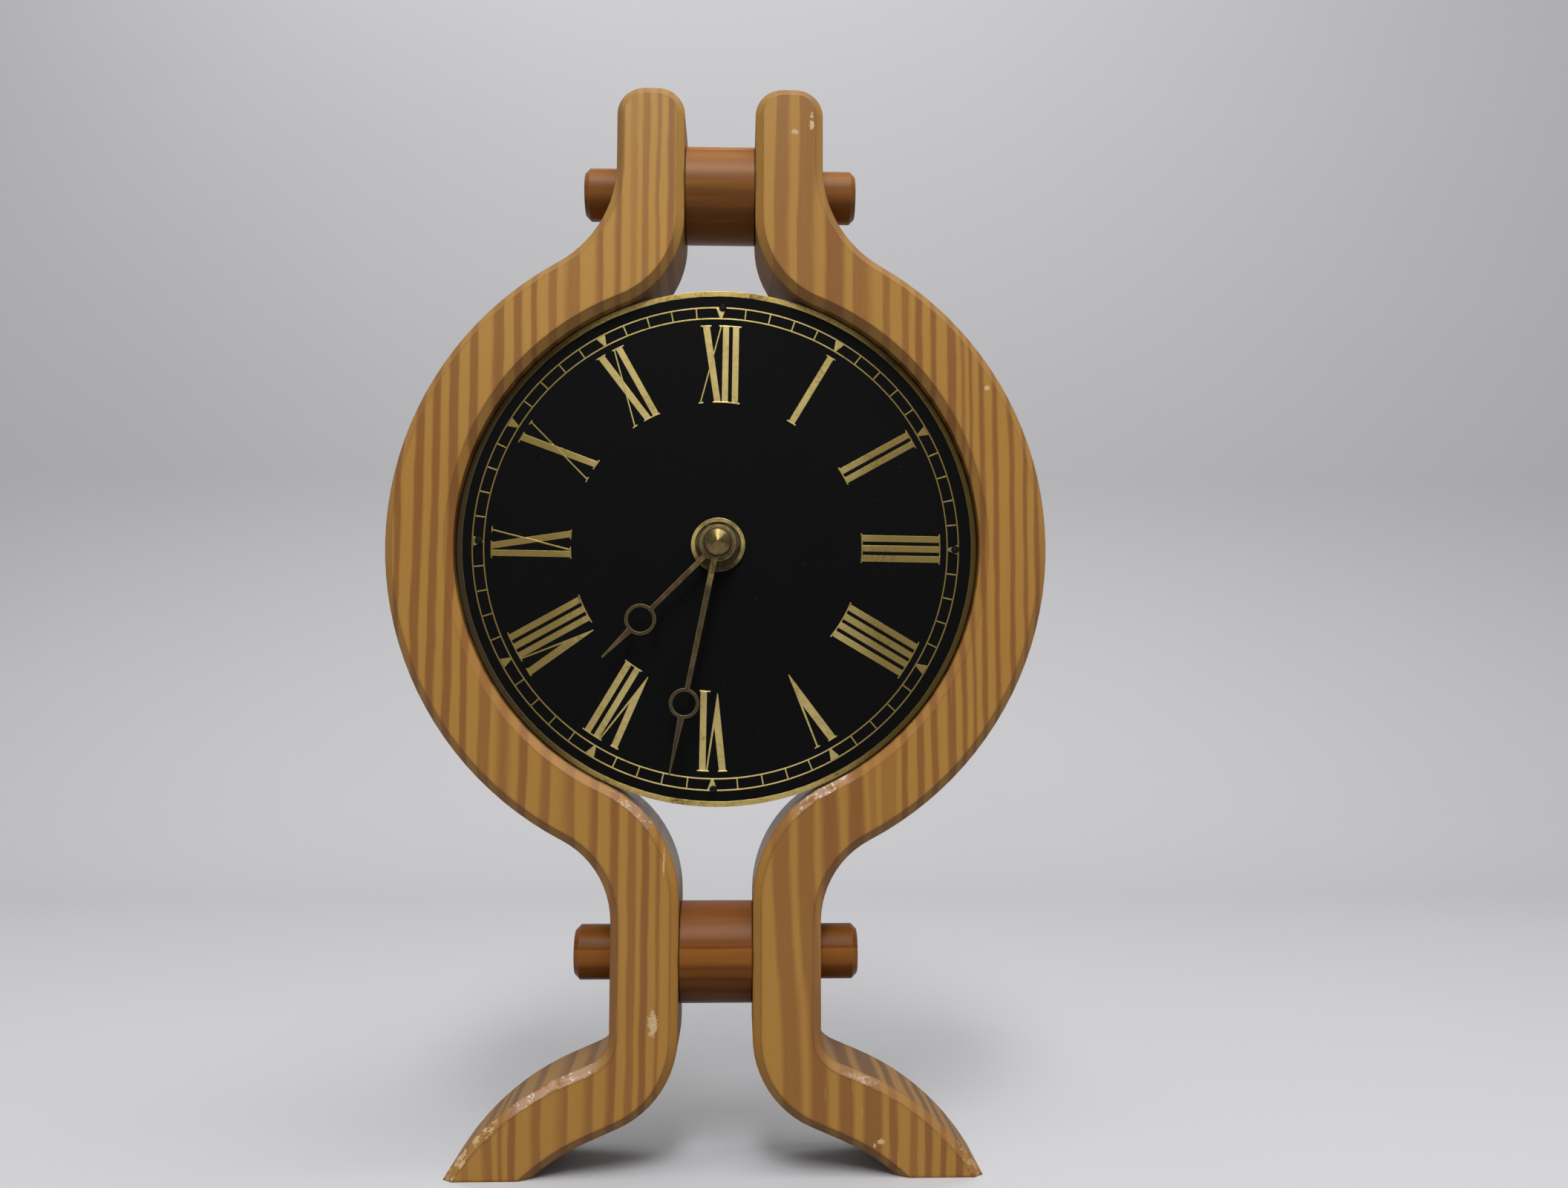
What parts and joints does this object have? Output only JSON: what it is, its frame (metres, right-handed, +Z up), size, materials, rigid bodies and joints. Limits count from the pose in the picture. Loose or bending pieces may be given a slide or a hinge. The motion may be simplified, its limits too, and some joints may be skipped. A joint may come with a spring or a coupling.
{
  "type": "table clock",
  "caption": "Free-standing pine table clock: curved uprights on splayed feet, joined by dowels, hold a round black dial, brass hands and a geared battery movement.",
  "frame": {"origin": "on the floor, at the middle of the overall width and depth", "axes": "+X to the right seen from the front, +Y to the back, +Z up"},
  "size_m": [0.1892, 0.037, 0.311],
  "materials": {
    "pine": "semi-gloss lacquer over striped pine",
    "dark_wood": "glossy red-brown stain",
    "plywood": "bare board",
    "dial_black": "matte black print with bare brass markings",
    "black_pin": "black oxide",
    "brass": "worn polish",
    "tarnished_brass": "brown tarnish",
    "rubber": "matte",
    "white_plastic": "moulded",
    "black_plastic": "fine spark texture",
    "cell_jacket": "plain printed foil",
    "steel": "nickel plated",
    "magnet": "sintered",
    "copper": "enamelled copper wire",
    "board": "solder mask"
  },
  "bodies": {
    "frame": {"left_upright": "pine", "right_upright": "pine", "upper_dowel": "dark_wood", "lower_dowel": "dark_wood", "upper_spacer": "dark_wood", "lower_spacer": "dark_wood", "backing_disc": "plywood", "dial_plate": "dial_black", "dial_pins": "black_pin", "bush_washer": "brass", "bush_nut": "brass", "rubber_gasket": "rubber", "movement_case": "black_plastic", "movement_cover": "black_plastic", "positive_contact": "steel", "negative_contact": "steel", "stator_plate": "steel", "coil_bobbin": "white_plastic", "coil_winding": "copper", "circuit_board": "board", "control_chip": "black_plastic", "crystal_can": "steel"},
    "minute_works": {"minute_arbor": "brass", "minute_hand": "tarnished_brass", "cap_nut": "brass"},
    "hour_works": {"hour_wheel": "white_plastic", "hour_hand": "tarnished_brass"},
    "minute_wheel": {"minute_wheel": "white_plastic"},
    "setting_knob": {"setting_knob": "black_plastic"},
    "centre_wheel": {"centre_wheel": "white_plastic"},
    "third_wheel": {"third_wheel": "white_plastic"},
    "seconds_wheel": {"seconds_wheel": "white_plastic"},
    "intermediate_wheel": {"intermediate_wheel": "white_plastic"},
    "rotor": {"rotor_pinion": "white_plastic", "rotor_magnet": "magnet"},
    "battery": {"battery_cell": "cell_jacket"}
  },
  "joints": [
    {"name": "minute_hand_turn", "type": "hinge", "parent": "frame", "child": "minute_works", "pos_m": [0, 0, 0.176], "axis": [0, 1, 0], "continuous": true},
    {"name": "hour_hand_turn", "type": "hinge", "parent": "frame", "child": "hour_works", "pos_m": [0, 0, 0.176], "axis": [0, 1, 0], "continuous": true},
    {"name": "minute_wheel_turn", "type": "hinge", "parent": "frame", "child": "minute_wheel", "pos_m": [0.01, 0, 0.176], "axis": [0, 1, 0], "continuous": true},
    {"name": "setting_knob_turn", "type": "hinge", "parent": "frame", "child": "setting_knob", "pos_m": [0.01999, 0, 0.17276], "axis": [0, 1, 0], "continuous": true},
    {"name": "seconds_wheel_turn", "type": "hinge", "parent": "frame", "child": "seconds_wheel", "pos_m": [-0.00291, 0, 0.19001], "axis": [0, 1, 0], "continuous": true},
    {"name": "third_wheel_turn", "type": "hinge", "parent": "frame", "child": "third_wheel", "pos_m": [-0.00803, 0, 0.18323], "axis": [0, 1, 0], "continuous": true},
    {"name": "centre_wheel_turn", "type": "hinge", "parent": "frame", "child": "centre_wheel", "pos_m": [0, 0, 0.176], "axis": [0, 1, 0], "continuous": true},
    {"name": "intermediate_wheel_turn", "type": "hinge", "parent": "frame", "child": "intermediate_wheel", "pos_m": [0.00426, 0, 0.19064], "axis": [0, 1, 0], "continuous": true},
    {"name": "rotor_turn", "type": "hinge", "parent": "frame", "child": "rotor", "pos_m": [0.01061, 0, 0.18768], "axis": [0, 1, 0], "continuous": true},
    {"name": "battery_slide", "type": "slide", "parent": "frame", "child": "battery", "axis": [0, 1, 0], "range_m": [0, 0.02]}
  ],
  "couplings": [
    {"joint": "hour_hand_turn", "follows": "minute_hand_turn", "ratio": 0.083333},
    {"joint": "minute_wheel_turn", "follows": "minute_hand_turn", "ratio": -0.33333},
    {"joint": "setting_knob_turn", "follows": "minute_hand_turn", "ratio": 0.83333},
    {"joint": "third_wheel_turn", "follows": "seconds_wheel_turn", "ratio": -0.13333},
    {"joint": "centre_wheel_turn", "follows": "seconds_wheel_turn", "ratio": 0.016667},
    {"joint": "intermediate_wheel_turn", "follows": "seconds_wheel_turn", "ratio": -5},
    {"joint": "rotor_turn", "follows": "seconds_wheel_turn", "ratio": 30}
  ]
}
